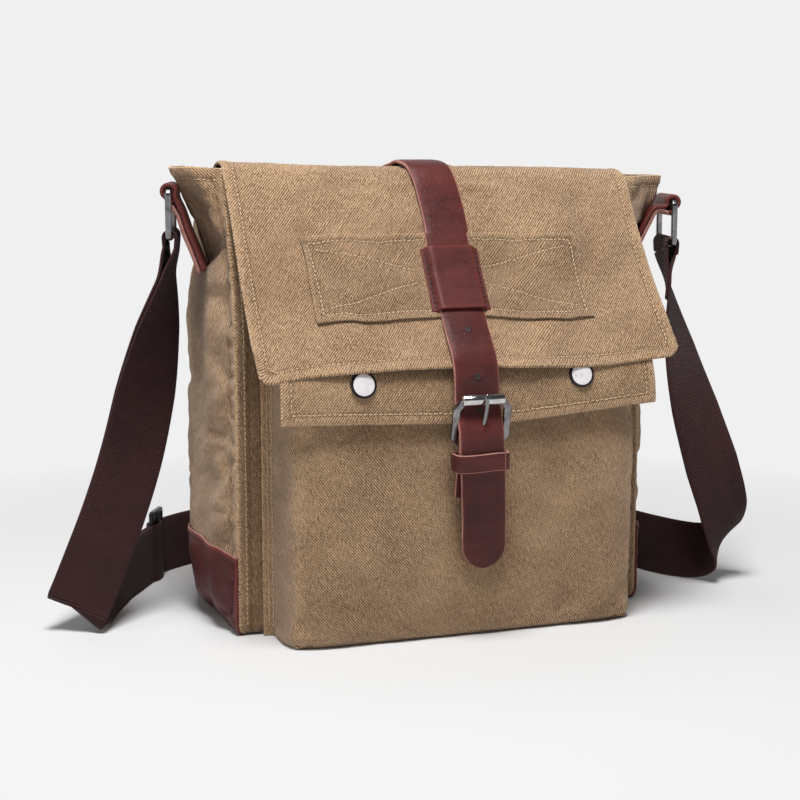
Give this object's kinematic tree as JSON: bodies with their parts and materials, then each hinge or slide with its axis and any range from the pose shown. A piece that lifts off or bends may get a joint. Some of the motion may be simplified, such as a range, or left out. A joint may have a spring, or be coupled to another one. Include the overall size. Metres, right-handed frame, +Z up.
{
  "type": "messenger bag",
  "caption": "Canvas messenger bag with a flap, leather buckle strap, snap front pocket and webbing shoulder strap.",
  "frame": {"origin": "middle of the main compartment's bottom, on the surface that the bag stands on", "axes": "+X to the right in a front view, -Y out of the front, +Z up"},
  "size_m": [0.4913, 0.2887, 0.3064],
  "materials": {
    "canvas": "khaki cotton twill with polyester stitching",
    "lining": "plain cotton lining",
    "leather": "burgundy-brown leather with pale raw edges",
    "webbing": "dark brown ribbed cotton webbing",
    "hardware": "dark gunmetal plate, lightly polished",
    "snap_metal": "dark polished cap",
    "board": "black stiffener board"
  },
  "bodies": {
    "bag_body": {"base_panel": "canvas", "front_panel": "canvas", "back_panel": "canvas", "gusset_left": "canvas", "gusset_right": "canvas", "corner_patch_left": "leather", "corner_patch_right": "leather", "base_board": "board", "lining": "lining", "front_pocket": "canvas", "snap_studs": "snap_metal", "magnet_base": "hardware", "ring_tab_left": "leather", "ring_tab_right": "leather", "shoulder_strap": "webbing", "shoulder_strap_loop": "webbing"},
    "main_flap": {"main_flap": "canvas", "flap_patch": "canvas", "strap_sleeve": "leather", "closing_strap": "leather", "buckle_tab": "leather", "strap_keeper": "leather", "magnet_cap": "hardware"},
    "pocket_flap": {"pocket_flap": "canvas", "snap_caps": "snap_metal", "snap_sockets": "snap_metal"},
    "buckle_frame": {"buckle_frame": "hardware"},
    "buckle_roller": {"buckle_roller": "snap_metal"},
    "buckle_tongue": {"buckle_tongue": "hardware"},
    "ring_left": {"ring_left": "hardware"},
    "ring_right": {"ring_right": "hardware"},
    "strap_slider": {"strap_slider": "hardware"}
  },
  "joints": [
    {"name": "main_flap_hinge", "type": "hinge", "parent": "bag_body", "child": "main_flap", "pos_m": [0, 0.0444, 0.2926], "axis": [-1, 0, 0], "range_deg": [0, 140]},
    {"name": "pocket_flap_hinge", "type": "hinge", "parent": "bag_body", "child": "pocket_flap", "pos_m": [0, -0.0618, 0.197], "axis": [-1, 0, 0], "range_deg": [0, 100]},
    {"name": "buckle_frame_hinge", "type": "hinge", "parent": "main_flap", "child": "buckle_frame", "pos_m": [0, -0.1185, 0.128], "axis": [1, 0, 0], "range_deg": [0, 8]},
    {"name": "buckle_tongue_hinge", "type": "hinge", "parent": "buckle_frame", "child": "buckle_tongue", "pos_m": [0, -0.1185, 0.128], "axis": [1, 0, 0], "range_deg": [0, 4]},
    {"name": "buckle_roller_spin", "type": "hinge", "parent": "buckle_frame", "child": "buckle_roller", "pos_m": [0, -0.1246, 0.155], "axis": [1, 0, 0], "continuous": true},
    {"name": "ring_left_swing", "type": "hinge", "parent": "bag_body", "child": "ring_left", "pos_m": [-0.1685, -0.012, 0.281], "axis": [0.2588, 0.9659, 0], "range_deg": [-10, 80], "deforming": ["shoulder_strap_loop"]},
    {"name": "ring_right_swing", "type": "hinge", "parent": "bag_body", "child": "ring_right", "pos_m": [0.183, -0.012, 0.2705], "axis": [-0.2588, -0.9659, 0], "range_deg": [-10, 80], "deforming": ["shoulder_strap"]},
    {"name": "slider_slide", "type": "slide", "parent": "bag_body", "child": "strap_slider", "axis": [-0.4711, -0.8821, 0], "range_m": [0, 0.05], "deforming": ["shoulder_strap_loop", "shoulder_strap"]}
  ],
  "couplings": [
    {"joint": "pocket_flap_hinge", "follows": "main_flap_hinge", "ratio": 0.7142}
  ]
}
